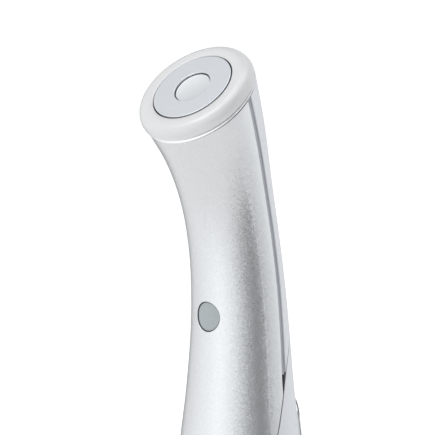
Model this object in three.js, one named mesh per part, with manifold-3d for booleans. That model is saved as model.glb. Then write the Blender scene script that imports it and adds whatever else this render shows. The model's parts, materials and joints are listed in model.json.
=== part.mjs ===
// A handheld facial care device: a curved handle with a round, forward-leaning treatment head.
// Millimetres, +Z up, standing on its flat base cap with the origin at the middle of that face.
// The front (button side, the way the head leans) is -Y.
import * as THREE from "three";
import { mergeVertices } from "three/addons/utils/BufferGeometryUtils.js";
import Module from "manifold-3d";

const wasm = await Module();
wasm.setup();

// ---------- driving dimensions ----------

const GAP = 0.3; // clearance between neighbouring pieces
const WALL = 2.0; // casing wall thickness

// The handle's centreline: straight up from the base, then leaning forward more and more.
const BEND_START = 61.5; // height where the lean begins
const BEND_LENGTH = 128.5; // length over which the lean would reach the head's tilt
const BEND_POWER = 1.3; // how gently the lean sets in
const NECK_END = 158; // centreline length up to the casing's top edge
const HEAD_TILT = THREE.MathUtils.degToRad(41); // tilt of the treatment face
const TILT_BLEND = 22; // length below the top edge over which the sections turn to the head's tilt

// Casing radius at places along the centreline, from the base to the top edge.
const CASING_RADIUS = [
  [0, 13.5],
  [3, 16.4],
  [7, 18.5],
  [14, 20.4],
  [24, 21.3],
  [34, 21.0],
  [52, 18.9],
  [70, 17.35],
  [88, 16.3],
  [106, 15.7],
  [124, 16.05],
  [142, 18.0],
  [NECK_END, 20.8],
];

// Side view: how far behind the centreline the two upper casing halves end, with the trim strip between.
const FRONT_EDGE = 1.9;
const BACK_EDGE = 4.2;
// The strip's line bows backwards by up to this, most at a place along the centreline, and forwards at its ends.
const BOW = { back: 0.45, ahead: 0.6, at: 108, reach: 48 };
const TRIM_RECESS = 0.5; // how far the strip lies below the casing's surface
const TRIM_FOOT = 59.4; // height of the strip's lower end

// Side view (y, z): the seam where the lower shell meets the two upper ones.
const SEAM = [
  [30, 91],
  [16.5, 81.2],
  [9.5, 71.4],
  [4.3, 61.5],
  [0.65, 50.6],
  [-3.3, 39.5],
  [-9, 27],
  [-17, 17.5],
  [-30, 11],
];

// Treatment head: distances below the treatment face, and radii.
const HEAD_DEPTH = 6.35; // treatment face to the casing's top edge
const PLATE_RADIUS = 14.45; // outer electrode
const PLATE_HOLE = 6.75;
const CENTRE_RADIUS = 6.4; // inner electrode
const CENTRE_RECESS = 0.6; // inner electrode's rim below the treatment face
const RING_RADIUS = 21.25; // light ring at its widest
const RING_INNER = PLATE_RADIUS + 0.45;
const RING_CREST = 17.0; // radius of the ring's highest line, level with the treatment face
const RING_LIP = 0.4; // ring's inner edge below the treatment face
const RING_WIDEST = 4.2; // its widest line below the treatment face
const RING_SQUARENESS = 2.35; // exponent of the superellipse that its shoulder follows
const RING_FOOT = 5.15; // bottom of the light ring below the treatment face
const RING_TUCK = 0.75; // how far the ring's foot draws in
const TRIM_RADIUS = 20.95; // bright trim ring under it
const TRIM_CHAMFER = 0.55; // its sloping upper edge
const TRIM_RISE = 0.75; // how much thinner it is at the back than at the front, which opens the gap under it

// Button and its switch.
const BUTTON_AT = 81.3; // place along the centreline
const BUTTON_RADIUS = 4.95;
const BUTTON_PLAY = 0.22; // clearance round the button in its hole
const BUTTON_RECESS = 0.45; // button face below the casing's surface, whose curve it follows
const FLANGE_AT = 3.35; // depth of the flange that keeps the button in
const STEM_TIP = 5.2; // depth of the end of the button's stem

// Rear hand electrode: a squarish oval plate that stands proud of the lower shell.
const HAND_PLATE = { z: 31.5, halfWidth: 16, halfHeight: 19, squareness: 3, proud: 0.8, sunk: 0.7 };

// Base cap.
const CAP_HEIGHT = 3.0;
const CAP_PLUG_RADIUS = 14.0;
const CAP_PLUG_TOP = 6.0;
const CONTACT_X = 6;
const CONTACT_RADIUS = 1.5;
const SCREW_Y = 9.5;

// Insides.
const CELL = { radius: 9.1, bottom: 13.2, top: 77.2, y: 3.2 };
const CARRIER_RADIUS = 17.4; // flange of the head carrier
const WEB = { front: -7.0, back: -6.2, halfWidth: 10 };
const BOARD = { front: -8.5, back: -7.3, halfWidth: 10.5, bottom: 28, top: 98 };
const BOARD_SCREWS = [
  [-8, 36],
  [8, 92],
];

const SIDES = 32; // facets round the casing and the head
const INNER_SIDES = 20; // facets round turned inner pieces
const RINGS = 18; // sections along the casing

// ---------- small tools ----------

const X = new THREE.Vector3(1, 0, 0);
const Y = new THREE.Vector3(0, 1, 0);
const Z = new THREE.Vector3(0, 0, 1);

// A closed three.js geometry as a manifold-3d solid.
function solid(geometry) {
  const bare = geometry.clone();
  bare.deleteAttribute("normal");
  bare.deleteAttribute("uv");
  const merged = mergeVertices(bare, 1e-4);
  return new wasm.Manifold(
    new wasm.Mesh({
      numProp: 3,
      vertProperties: merged.attributes.position.array,
      triVerts: new Uint32Array(merged.index.array),
    }),
  );
}

// A manifold-3d solid as a three.js geometry.
function geometryOf(shape) {
  const mesh = shape.getMesh();
  const geometry = new THREE.BufferGeometry();
  geometry.setAttribute("position", new THREE.BufferAttribute(mesh.vertProperties, 3));
  geometry.setIndex(new THREE.BufferAttribute(mesh.triVerts, 1));
  geometry.computeVertexNormals();
  return geometry;
}

// A box between two corners.
function box(low, high) {
  const size = high.map((v, i) => v - low[i]);
  const middle = high.map((v, i) => (v + low[i]) / 2);
  return new THREE.BoxGeometry(...size).translate(...middle);
}

// A cylinder along Z from one height to another.
function rod(x, y, low, high, radius, sides = 20) {
  return new THREE.CylinderGeometry(radius, radius, high - low, sides)
    .rotateX(Math.PI / 2)
    .translate(x, y, (low + high) / 2);
}

// A cylinder along Y from one depth to another.
function across(x, z, from, to, radius, sides = 12) {
  return new THREE.CylinderGeometry(radius, radius, to - from, sides).translate(x, (from + to) / 2, z);
}

// A body turned about Z from a closed (radius, height) outline, in either direction round.
function turned(outline, sides = INNER_SIDES) {
  let points = outline.map(([r, h]) => new THREE.Vector2(r, h));
  if (THREE.ShapeUtils.area(points) < 0) points = points.reverse();
  const closed = points.some((p) => p.x < 1e-6);
  if (!closed) points.push(points[0].clone());
  return new THREE.LatheGeometry(points, sides).rotateX(Math.PI / 2);
}

// A side-view outline in (y, z) carried across the whole width, or from one x to another.
function sideCut(outline, from = -40, to = 40) {
  const shape = new THREE.Shape(outline.map(([y, z]) => new THREE.Vector2(y, z)));
  return new THREE.ExtrudeGeometry(shape, { depth: to - from, bevelEnabled: false, steps: 1 })
    .applyMatrix4(new THREE.Matrix4().makeBasis(Y, Z, X))
    .translate(from, 0, 0);
}

// A round lead of one radius along a smooth curve through points.
function lead(points, radius, steps = 18) {
  const section = new THREE.Shape().absarc(0, 0, radius, 0, 2 * Math.PI);
  return new THREE.ExtrudeGeometry(section, {
    extrudePath: new THREE.CatmullRomCurve3(points),
    steps,
    curveSegments: 3,
    bevelEnabled: false,
  });
}

// ---------- the casing's shape ----------

// Lean of the centreline at length s from the base.
function lean(s) {
  const share = Math.max(0, (s - BEND_START) / BEND_LENGTH);
  return HEAD_TILT * share ** BEND_POWER;
}

// Tilt of the casing's section there: the same, but turned fully to the head's tilt at the top edge.
function sectionTilt(s) {
  const blend = THREE.MathUtils.smoothstep(s, NECK_END - TILT_BLEND, NECK_END);
  return lean(s) + blend * (HEAD_TILT - lean(NECK_END));
}

// Point on the centreline; past the top edge it runs on along the head's axis.
function centre(s) {
  const point = new THREE.Vector3(0, 0, Math.min(s, BEND_START));
  const steps = 60;
  const step = Math.max(0, Math.min(s, NECK_END) - BEND_START) / steps;
  for (let i = 0; i < steps; i++) {
    const angle = lean(BEND_START + (i + 0.5) * step);
    point.y -= Math.sin(angle) * step;
    point.z += Math.cos(angle) * step;
  }
  const past = Math.max(0, s - NECK_END);
  return point.add(new THREE.Vector3(0, -Math.sin(HEAD_TILT) * past, Math.cos(HEAD_TILT) * past));
}

// Unit vector towards the front in the plane of a section.
function forward(tilt) {
  return new THREE.Vector3(0, -Math.cos(tilt), -Math.sin(tilt));
}

// Casing radius at length s: a smooth curve through CASING_RADIUS.
function radius(s) {
  const table = CASING_RADIUS;
  const last = table.length - 1;
  let i = 0;
  while (i < last - 1 && s > table[i + 1][0]) i++;
  const slope = (k) => {
    const a = table[Math.max(0, k - 1)];
    const b = table[Math.min(last, k + 1)];
    return (b[1] - a[1]) / (b[0] - a[0]);
  };
  const [s0, r0] = table[i];
  const [s1, r1] = table[i + 1];
  const span = s1 - s0;
  const u = THREE.MathUtils.clamp((s - s0) / span, 0, 1);
  const v = 1 - u;
  return (
    (1 + 2 * u) * v * v * r0 +
    u * v * v * span * slope(i) +
    u * u * (3 - 2 * u) * r1 -
    u * u * v * span * slope(i + 1)
  );
}

// Places of the casing's sections: close together at the rounded foot, even above it.
function sectionPlaces() {
  const foot = [0, 1.5, 3, 5, 8];
  const above = RINGS - foot.length;
  const start = 12;
  const even = Array.from({ length: above }, (_, i) => start + ((NECK_END - start) * i) / (above - 1));
  return [...foot, ...even];
}

// The casing's solid, with its surface moved inwards by inset; open ends run past the casing by over.
function casing(inset, over = 0) {
  const places = sectionPlaces();
  const rings = places.map((s) => ({ at: centre(s), tilt: sectionTilt(s), r: radius(s) - inset }));
  if (over > 0) {
    const first = rings[0];
    rings.unshift({ ...first, at: new THREE.Vector3(0, 0, -over) });
    rings.push({ ...rings.at(-1), at: centre(NECK_END + over) });
  }
  const positions = [];
  rings.forEach(({ at, tilt, r }) => {
    const front = forward(tilt);
    for (let k = 0; k < SIDES; k++) {
      const angle = (2 * Math.PI * k) / SIDES;
      const p = at.clone();
      p.addScaledVector(X, r * Math.sin(angle)).addScaledVector(front, r * Math.cos(angle));
      positions.push(p.x, p.y, p.z);
    }
  });
  const index = [];
  const at = (ring, k) => ring * SIDES + (k % SIDES);
  for (let ring = 0; ring < rings.length - 1; ring++) {
    for (let k = 0; k < SIDES; k++) {
      index.push(at(ring, k), at(ring, k + 1), at(ring + 1, k + 1));
      index.push(at(ring, k), at(ring + 1, k + 1), at(ring + 1, k));
    }
  }
  [0, rings.length - 1].forEach((ring, end) => {
    const middle = positions.length / 3;
    positions.push(...rings[ring].at.toArray());
    for (let k = 0; k < SIDES; k++) {
      const pair = [at(ring, k), at(ring, k + 1)];
      index.push(middle, ...(end ? pair : pair.reverse()));
    }
  });
  const geometry = new THREE.BufferGeometry();
  geometry.setAttribute("position", new THREE.Float32BufferAttribute(positions, 3));
  geometry.setIndex(index);
  return solid(geometry);
}

// Casing material between two depths below its surface.
function layer(outerDepth, innerDepth) {
  return casing(outerDepth, outerDepth > 0 ? 1 : 0).subtract(casing(innerDepth, 3));
}

// How far the trim strip's line bows backwards at length s.
function bow(s) {
  return Math.max(-BOW.ahead, BOW.back - ((s - BOW.at) / BOW.reach) ** 2);
}

// Side-view band between two distances behind the centreline, both bowed, over a stretch of it.
function band(near, far, from = -4, to = NECK_END + 4) {
  const count = 24;
  const line = (distance) =>
    Array.from({ length: count + 1 }, (_, i) => {
      const s = from + ((to - from) * i) / count;
      const base = s < 0 ? new THREE.Vector3(0, 0, s) : centre(s);
      const p = base.addScaledVector(forward(sectionTilt(s)), -distance - bow(s));
      return [p.y, p.z];
    });
  return solid(sideCut([...line(near), ...line(far).reverse()]));
}

// Everything below the seam, with the seam moved by shift (plus is up and forward).
function belowSeam(shift) {
  const curve = new THREE.SplineCurve(SEAM.map(([y, z]) => new THREE.Vector2(y, z)));
  const line = [];
  const count = 20;
  for (let i = 0; i <= count; i++) {
    const p = curve.getPoint(i / count);
    const t = curve.getTangent(i / count);
    line.push([p.x + t.y * shift, p.y - t.x * shift]);
  }
  return solid(sideCut([...line, [-40, -20], [40, -20]]));
}

// The superellipse outline of the hand electrode, grown by extra, as a post from the axis backwards.
function handOval(extra) {
  const count = 36;
  const power = 2 / HAND_PLATE.squareness;
  const reach = (half, part) => (half + extra) * Math.sign(part) * Math.abs(part) ** power;
  const outline = Array.from({ length: count }, (_, i) => {
    const angle = (2 * Math.PI * (i + 0.5)) / count;
    return new THREE.Vector2(
      reach(HAND_PLATE.halfWidth, Math.cos(angle)),
      reach(HAND_PLATE.halfHeight, Math.sin(angle)),
    );
  });
  const post = new THREE.ExtrudeGeometry(new THREE.Shape(outline), { depth: 40, bevelEnabled: false });
  return solid(post.rotateX(-Math.PI / 2).translate(0, 0, HAND_PLATE.z));
}

// ---------- frames of the head and the button ----------

const headCentre = centre(NECK_END + HEAD_DEPTH);

// World point of head coordinates: x across, y up the face, h above the treatment face.
function headPoint(x, y, h) {
  return new THREE.Vector3(x, y, h).applyAxisAngle(X, HEAD_TILT).add(headCentre);
}

const buttonTilt = sectionTilt(BUTTON_AT);
const buttonApex = centre(BUTTON_AT).addScaledVector(forward(buttonTilt), radius(BUTTON_AT));
const buttonTurn = Math.PI / 2 + buttonTilt; // turns +Z to the button's outward axis

// A geometry in button coordinates (+Z outwards from the casing's foremost line) put in place.
function atButton(geometry) {
  return geometry.rotateX(buttonTurn).translate(...buttonApex.toArray());
}

// ---------- materials ----------

function material(color, roughness, metalness) {
  return new THREE.MeshStandardMaterial({ color, roughness, metalness });
}

const satinSilver = material(0xcfd2d5, 0.42, 0.75);
const pearl = material(0xd9dce2, 0.3, 0.25);
const trimGrey = material(0x9aa0a8, 0.45, 0.3);
const opal = material(0xf1f2f2, 0.35, 0);
const chrome = material(0xdde0e3, 0.12, 1);
const steel = material(0xc4c9ce, 0.28, 1);
const buttonGrey = material(0xaeb6ba, 0.55, 0);
const plastic = material(0xe4e4e2, 0.6, 0);
const boardGreen = material(0x2f6b45, 0.6, 0.1);
const black = material(0x1d1e20, 0.6, 0);
const rubber = material(0x3a3b3d, 0.85, 0);
const ceramic = material(0xe9e3cf, 0.5, 0);
const brass = material(0xc9a24a, 0.3, 1);
const cellBlue = material(0x3c6fa8, 0.5, 0.1);
const copper = material(0xb4663a, 0.4, 0.9);
const redLead = material(0xb5302b, 0.5, 0);
const whiteLed = material(0xf5f3dc, 0.3, 0);

// ---------- building the object ----------

const device = new THREE.Group();
const head = new THREE.Group();
head.position.copy(headCentre);
head.rotation.x = HEAD_TILT;
device.add(head);

// Adds one piece, from a geometry or a manifold-3d solid, to a group.
function piece(name, shape, look, group = device) {
  const geometry = shape.isBufferGeometry ? shape : geometryOf(shape);
  const mesh = new THREE.Mesh(geometry, look);
  mesh.name = name;
  group.add(mesh);
}

function buildCasing() {
  const wall = layer(0, WALL);
  const above = belowSeam(GAP / 2);
  const upper = wall.subtract(above);

  // The front shell carries an inner ledge behind the trim strips.
  const ledgeRoot = layer(WALL - 0.1, WALL + 1.4).intersect(band(-3, FRONT_EDGE, 50, 146));
  const ledge = layer(WALL + 0.4, WALL + 1.4).intersect(band(FRONT_EDGE - 0.1, BACK_EDGE + 1.2, 50, 146));
  const hole = solid(atButton(rod(0, 0, -6, 6, BUTTON_RADIUS + BUTTON_PLAY, 28)));
  const front = upper
    .intersect(band(-40, FRONT_EDGE))
    .add(ledgeRoot.add(ledge).subtract(above))
    .subtract(hole);
  piece("front_shell", front, satinSilver);
  piece("upper_back_shell", upper.intersect(band(BACK_EDGE, 40)), pearl);

  // Trim strips, one a side, recessed in the slot between the halves.
  const slot = band(FRONT_EDGE + GAP, BACK_EDGE - GAP);
  const strips = layer(TRIM_RECESS, WALL)
    .intersect(slot)
    .subtract(casingTopCut())
    .subtract(solid(box([-40, -40, -40], [40, 40, TRIM_FOOT])));
  piece("side_trim_left", strips.intersect(solid(box([-60, -99, 0], [0, 99, 199]))), trimGrey);
  piece("side_trim_right", strips.intersect(solid(box([0, -99, 0], [60, 99, 199]))), trimGrey);

  // Lower shell with the hand electrode's shallow seat and the hole for its contact post.
  const seat = handOval(GAP).subtract(casing(HAND_PLATE.sunk + GAP, 3));
  const seatY = radius(HAND_PLATE.z) - HAND_PLATE.sunk;
  const post = across(0, HAND_PLATE.z, seatY - 5.5, seatY + 0.3, 1.5, 16);
  const postHole = across(0, HAND_PLATE.z, seatY - 8, seatY + 4, 1.5 + GAP, 16);
  const lower = wall
    .intersect(belowSeam(-GAP / 2))
    .subtract(solid(box([-40, -40, -5], [40, 40, CAP_HEIGHT + GAP])))
    .subtract(seat)
    .subtract(solid(postHole));
  piece("lower_shell", lower, pearl);
  const plate = casing(-HAND_PLATE.proud).subtract(casing(HAND_PLATE.sunk, 3)).intersect(handOval(0));
  piece("hand_electrode", plate.add(solid(post)), chrome);
}

// Everything past the casing's top edge, used to end the trim strips there.
function casingTopCut() {
  const block = box([-60, -60, -HEAD_DEPTH], [60, 60, 40]);
  return solid(block.rotateX(HEAD_TILT).translate(...headCentre.toArray()));
}

function buildHead() {
  piece(
    "outer_electrode",
    turned(
      [
        [PLATE_HOLE, -1.2],
        [PLATE_RADIUS - 1.2, -1.2],
        [PLATE_RADIUS - 1.2, -4.4],
        [PLATE_RADIUS, -4.4],
        [PLATE_RADIUS, -0.18],
        [PLATE_RADIUS - 0.18, 0],
        [PLATE_HOLE + 0.15, 0],
        [PLATE_HOLE, -0.15],
      ],
      SIDES,
    ),
    steel,
    head,
  );
  piece(
    "inner_electrode",
    turned(
      [
        [0, -2.2],
        [CENTRE_RADIUS, -2.2],
        [CENTRE_RADIUS, -CENTRE_RECESS],
        [CENTRE_RADIUS * 0.66, -CENTRE_RECESS - 0.15],
        [CENTRE_RADIUS * 0.33, -CENTRE_RECESS - 0.25],
        [0, -CENTRE_RECESS - 0.28],
      ],
      SIDES,
    ),
    steel,
    head,
  );
  piece(
    "electrode_insulator",
    turned([
      [5.4, -3.7],
      [12.9, -3.7],
      [12.9, -1.5],
      [6.8, -1.5],
      [6.8, -2.5],
      [5.4, -2.5],
    ]),
    plastic,
    head,
  );
  piece("transducer_disc", turned([[0, -4.0], [5.1, -4.0], [5.1, -2.5], [0, -2.5]]), ceramic, head);

  // Light ring: a channel, open below. Its top rises from the inner lip to a crest and rolls over a full
  // shoulder to the widest line.
  const rise = [];
  const shoulder = [];
  const power = 2 / RING_SQUARENESS;
  for (let i = 0; i <= 3; i++) {
    const angle = (Math.PI / 2) * (i / 3);
    rise.push([RING_CREST - (RING_CREST - RING_INNER) * Math.cos(angle), RING_LIP * (Math.sin(angle) - 1)]);
  }
  for (let i = 1; i <= 6; i++) {
    const angle = (Math.PI / 2) * (1 - i / 6);
    const r = RING_CREST + (RING_RADIUS - RING_CREST) * Math.cos(angle) ** power;
    shoulder.push([r, RING_WIDEST * (Math.sin(angle) ** power - 1)]);
  }
  piece(
    "light_ring",
    turned(
      [
        [RING_INNER, -RING_FOOT],
        ...rise,
        ...shoulder,
        [RING_RADIUS - 0.25 * RING_TUCK, -RING_WIDEST - 0.6 * (RING_FOOT - RING_WIDEST)],
        [RING_RADIUS - RING_TUCK, -RING_FOOT],
        [RING_RADIUS - 1.8, -RING_FOOT],
        [RING_RADIUS - 2.2, -2.2],
        [RING_INNER + 1.3, -2.2],
        [RING_INNER + 1.1, -RING_FOOT],
      ],
      SIDES,
    ),
    opal,
    head,
  );
  const trimLow = GAP / 2 - HEAD_DEPTH;
  const trimHigh = -RING_FOOT - GAP / 2;
  const trimRing = turned(
    [
      [18.1, trimLow],
      [TRIM_RADIUS, trimLow],
      [TRIM_RADIUS, trimHigh - TRIM_CHAMFER],
      [TRIM_RADIUS - TRIM_CHAMFER, trimHigh],
      [18.1, trimHigh],
    ],
    SIDES,
  );
  const corners = trimRing.getAttribute("position");
  for (let i = 0; i < corners.count; i++) {
    const rise = (TRIM_RISE * (1 + corners.getY(i) / TRIM_RADIUS)) / 2;
    const share = (trimHigh - corners.getZ(i)) / (trimHigh - trimLow);
    corners.setZ(i, corners.getZ(i) + rise * share);
  }
  piece("head_trim_ring", trimRing, chrome, head);

  // The LED board and its six LEDs lie in the light ring's channel.
  const ledBoard = turned([[14.9, -6.6], [17.8, -6.6], [17.8, -5.8], [14.9, -5.8]], SIDES);
  piece("led_board", ledBoard, boardGreen, head);
  for (let i = 0; i < 6; i++) {
    const led = box([16.3, -1, -5.5], [17.7, 1, -4.8]).rotateZ((Math.PI / 3) * (i + 0.5));
    piece(`led_${i + 1}`, led, whiteLed, head);
  }

  // Carrier: a column under the electrodes and a flange with a seal groove; three bosses take the screws.
  const body = solid(
    turned([
      [9, -4.0],
      [12.9, -4.0],
      [12.9, -6.9],
      [CARRIER_RADIUS, -6.9],
      [CARRIER_RADIUS, -7.3],
      [CARRIER_RADIUS - 1.3, -7.3],
      [CARRIER_RADIUS - 1.3, -8.7],
      [CARRIER_RADIUS, -8.7],
      [CARRIER_RADIUS, -9.1],
      [9, -9.1],
    ]),
  );
  const notch = solid(box([-1.2, 14.6, -10], [1.2, 16.4, -6]));
  let carrier = body.subtract(notch);
  for (let i = 0; i < 3; i++) {
    const angle = (2 * Math.PI * i) / 3 + Math.PI / 6;
    const [x, y] = [11.8 * Math.cos(angle), 11.8 * Math.sin(angle)];
    carrier = carrier.add(solid(rod(x, y, -12.2, -8.9, 2.3, 16)));
    carrier = carrier.subtract(solid(rod(x, y, -13, -8, 1.25, 12)));
    const shank = solid(rod(x, y, -15.2, -8.4, 0.95, 12));
    const cap = solid(rod(x, y, -16.4, -14.9, 1.9, 16));
    piece(`head_screw_${i + 1}`, shank.add(cap), steel, head);
  }
  piece("head_carrier", carrier, plastic, head);
  const seal = [];
  for (let i = 0; i < 6; i++) {
    const angle = (2 * Math.PI * i) / 6;
    seal.push([CARRIER_RADIUS - 0.4 + 0.5 * Math.cos(angle), -8 + 0.5 * Math.sin(angle)]);
  }
  piece("head_seal", turned(seal), rubber, head);
}

function buildFrame() {
  // One moulding: the web between cell and board, two shelves, the neck strip and the head plate.
  let frame = solid(box([-WEB.halfWidth, WEB.front, 8.5], [WEB.halfWidth, WEB.back, BOARD.top]));
  frame = frame.add(solid(box([-9, WEB.front, 8.5], [9, 12, 10.3])));
  frame = frame.add(solid(box([-8, WEB.front, 79], [8, 10.4, 81])));
  frame = frame.add(band(1, 3, 80, 151).intersect(solid(box([-7, -99, 0], [7, 99, 199]))));
  const plate = turned([[5.5, -14.5], [14.5, -14.5], [14.5, -12.6], [5.5, -12.6]]);
  frame = frame.add(solid(plate.rotateX(HEAD_TILT).translate(...headCentre.toArray())));
  for (const opening of [rod(0, 0, -20, -8, 4.5), box([-2.5, 11, -16], [5.5, 16, -11])]) {
    frame = frame.subtract(solid(opening.rotateX(HEAD_TILT).translate(...headCentre.toArray())));
  }
  for (const y of [-SCREW_Y, SCREW_Y]) {
    frame = frame.add(solid(rod(0, y, 6.4, 10.3, 2.6, 16)));
    frame = frame.subtract(solid(rod(0, y, 0, 9.4, 1.25, 12)));
  }
  for (let i = 0; i < 3; i++) {
    const angle = (2 * Math.PI * i) / 3 + Math.PI / 6;
    const hole = rod(11.8 * Math.cos(angle), 11.8 * Math.sin(angle), -30, -10, 1.3, 12);
    frame = frame.subtract(solid(hole.rotateX(HEAD_TILT).translate(...headCentre.toArray())));
  }
  for (const [x, z] of BOARD_SCREWS) {
    frame = frame.subtract(solid(across(x, z, WEB.front - 2, WEB.back + 2, 1.3)));
  }
  piece("inner_frame", frame, plastic);
}

function buildElectronics() {
  const low = [-BOARD.halfWidth, BOARD.front, BOARD.bottom];
  const high = [BOARD.halfWidth, BOARD.back, BOARD.top];
  let board = solid(box(low, high));
  BOARD_SCREWS.forEach(([x, z], i) => {
    board = board.subtract(solid(across(x, z, BOARD.front - 2, BOARD.back + 2, 1.3)));
    const shank = solid(across(x, z, BOARD.front - 0.5, WEB.back + 1.2, 0.95));
    const cap = solid(across(x, z, BOARD.front - 1.5, BOARD.front - GAP, 1.9));
    piece(`board_screw_${i + 1}`, shank.add(cap), steel);
  });
  piece("main_board", board, boardGreen);
  const onBoard = BOARD.front - GAP;
  piece("control_chip", box([-8.5, onBoard - 1, 64], [-1.5, onBoard, 71]), black);
  piece("drive_transformer", box([-5.5, onBoard - 6, 44], [5.5, onBoard, 54]), copper);
  piece("smoothing_capacitor", rod(5, onBoard - 2.5, 57.5, 63.5, 2.4, 16), black);

  // Switch under the button, its plunger in a bore.
  const stemEnd = new THREE.Vector3(0, 0, -STEM_TIP).applyAxisAngle(X, buttonTurn).add(buttonApex);
  const z = stemEnd.z;
  const plungerTip = stemEnd.y + GAP + 0.1;
  const body = solid(box([-3, plungerTip + 0.8, z - 3], [3, onBoard, z + 3]));
  const bore = solid(across(0, z, plungerTip - 1, onBoard + 1, 2.1, 16));
  piece("tact_switch_body", body.subtract(bore), black);
  piece("tact_switch_plunger", across(0, z, plungerTip, plungerTip + 2.2, 1.7, 16), rubber);

  // Button: a cap curved like the casing, a flange that keeps it in, and a stem towards the plunger.
  const column = solid(atButton(rod(0, 0, -FLANGE_AT - 0.1, 3, BUTTON_RADIUS, 28)));
  const cap = column.intersect(casing(BUTTON_RECESS));
  const flange = solid(atButton(rod(0, 0, -FLANGE_AT - 0.9, -FLANGE_AT, BUTTON_RADIUS + 0.9, 28)));
  const stem = solid(atButton(rod(0, 0, -STEM_TIP, -FLANGE_AT, 1.5, 16)));
  piece("power_button", cap.add(flange).add(stem), buttonGrey);

  // Cell and its two contacts.
  const cell = turned([
    [0, CELL.bottom],
    [CELL.radius - 0.6, CELL.bottom],
    [CELL.radius, CELL.bottom + 0.6],
    [CELL.radius, CELL.top - 1.6],
    [CELL.radius - 0.6, CELL.top - 1],
    [3, CELL.top - 1],
    [3, CELL.top],
    [0, CELL.top],
  ]);
  piece("battery_cell", cell.translate(0, CELL.y, 0), cellBlue);
  piece("battery_contact_top", box([-4, CELL.y - 4, 77.6], [4, CELL.y + 4, 78.5]), brass);
  const bent = [[-3, 10.7], [9, 10.7], [9, 11.3], [-1.6, 11.3], [4, 12.7], [4, 12.9], [-3, 11.3]];
  const blade = sideCut(bent, -2.5, 2.5);
  piece("battery_contact_bottom", blade, brass);
}

function buildLeads() {
  const r = 0.55;
  const front = BOARD.front - 1;
  for (const [name, x, look] of [["a", 2.2, redLead], ["b", -2.2, black]]) {
    const route = [new THREE.Vector3(x, front, 95.5), new THREE.Vector3(x, front - 0.6, 99)];
    for (const s of [112, 126, 138]) route.push(centre(s).addScaledVector(X, x).addScaledVector(Y, -3.5));
    route.push(headPoint(x, 0, -12), headPoint(x, 0, -4.6));
    piece(`transducer_lead_${name}`, lead(route, r), look);
  }
  const route = [new THREE.Vector3(7, front, 95.5), new THREE.Vector3(7.4, front - 0.4, 99)];
  for (const s of [112, 126]) route.push(centre(s).addScaledVector(X, 8.2));
  route.push(headPoint(6, 10, -19), headPoint(2, 13.8, -13));
  route.push(headPoint(0, 15.6, -9.2), headPoint(0, 15.6, -6.95));
  piece("led_lead", lead(route, r), redLead);

  const z = HAND_PLATE.z;
  const hand = [[0, 13.7, z], [6, 13.6, z], [12, 9.5, z + 1], [14.3, 2, z + 2]];
  hand.push([13.4, -5, z + 4], [11.6, -9.6, z + 6], [8, -9.5, z + 8]);
  const handRoute = hand.map((p) => new THREE.Vector3(...p));
  piece("hand_electrode_lead", lead(handRoute, r), black);
  for (const [name, side, look] of [["a", 1, redLead], ["b", -1, black]]) {
    const points = [[5, -4.8, 7], [5.6, -8.6, 8], [5.8, -10.8, 13], [5.8, -10.4, 24], [5.8, -9.5, 31]];
    const path = points.map(([x, y, h]) => new THREE.Vector3(side * x, y, h));
    piece(`charge_lead_${name}`, lead(path, r, 14), look);
  }
}

function buildBase() {
  let cap = casing(0).intersect(solid(box([-40, -40, 0], [40, 40, CAP_HEIGHT])));
  cap = cap.add(solid(rod(0, 0, CAP_HEIGHT - 0.1, CAP_PLUG_TOP, CAP_PLUG_RADIUS, SIDES)));
  for (const side of [-1, 1]) {
    cap = cap.subtract(solid(rod(side * CONTACT_X, 0, -1, CAP_PLUG_TOP + 1, CONTACT_RADIUS + GAP)));
    cap = cap.subtract(solid(rod(0, side * SCREW_Y, -1, 2.2, 2.3)));
    cap = cap.subtract(solid(rod(0, side * SCREW_Y, -1, CAP_PLUG_TOP + 1, 1.3, 12)));
    const pin = solid(rod(side * CONTACT_X, 0, GAP, 2.4, CONTACT_RADIUS));
    const stem = solid(rod(side * CONTACT_X, 0, 2.3, 6.3, 0.9, 12));
    piece(`charge_contact_${side < 0 ? "left" : "right"}`, pin.add(stem), brass);
    const shank = solid(rod(0, side * SCREW_Y, 1.5, 9, 0.95, 12));
    const screwHead = solid(rod(0, side * SCREW_Y, 0.5, 1.9, 1.9, 16));
    piece(`base_screw_${side < 0 ? "front" : "rear"}`, shank.add(screwHead), steel);
  }
  piece("base_cap", cap, plastic);
  piece("charge_board", box([-9, -4, 6.6], [9, 4, 7.6]), boardGreen);
}

buildCasing();
buildHead();
buildFrame();
buildElectronics();
buildLeads();
buildBase();

export default device;
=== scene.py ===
"""The looks of a handheld facial care device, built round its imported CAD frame.

Shapes are worked out in millimetres with the same curve and radii as the frame, and turned into
metres when a mesh is made. +Z is up, -Y is the front, where the head leans.
"""

import json
import math

import bmesh
import bpy
import numpy as np
from mathutils import Matrix, Vector


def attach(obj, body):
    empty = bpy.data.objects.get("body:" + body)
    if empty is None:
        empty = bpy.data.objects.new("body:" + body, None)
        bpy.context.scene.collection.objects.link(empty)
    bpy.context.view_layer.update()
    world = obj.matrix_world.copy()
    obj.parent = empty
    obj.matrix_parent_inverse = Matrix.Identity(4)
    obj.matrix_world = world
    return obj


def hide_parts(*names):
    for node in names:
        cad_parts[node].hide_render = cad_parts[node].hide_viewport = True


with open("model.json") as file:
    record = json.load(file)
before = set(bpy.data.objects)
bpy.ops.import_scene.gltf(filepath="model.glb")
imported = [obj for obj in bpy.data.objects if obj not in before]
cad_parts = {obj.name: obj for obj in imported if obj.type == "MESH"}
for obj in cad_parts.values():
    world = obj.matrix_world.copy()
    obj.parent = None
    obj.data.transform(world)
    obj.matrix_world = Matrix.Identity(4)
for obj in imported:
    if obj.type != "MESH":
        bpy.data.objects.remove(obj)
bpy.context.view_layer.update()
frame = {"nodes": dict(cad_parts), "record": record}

MM = 0.001  # one millimetre in scene units
BODY = "device"  # the CAD body that carries the casing

# ---------- driving dimensions, millimetres ----------

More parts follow.
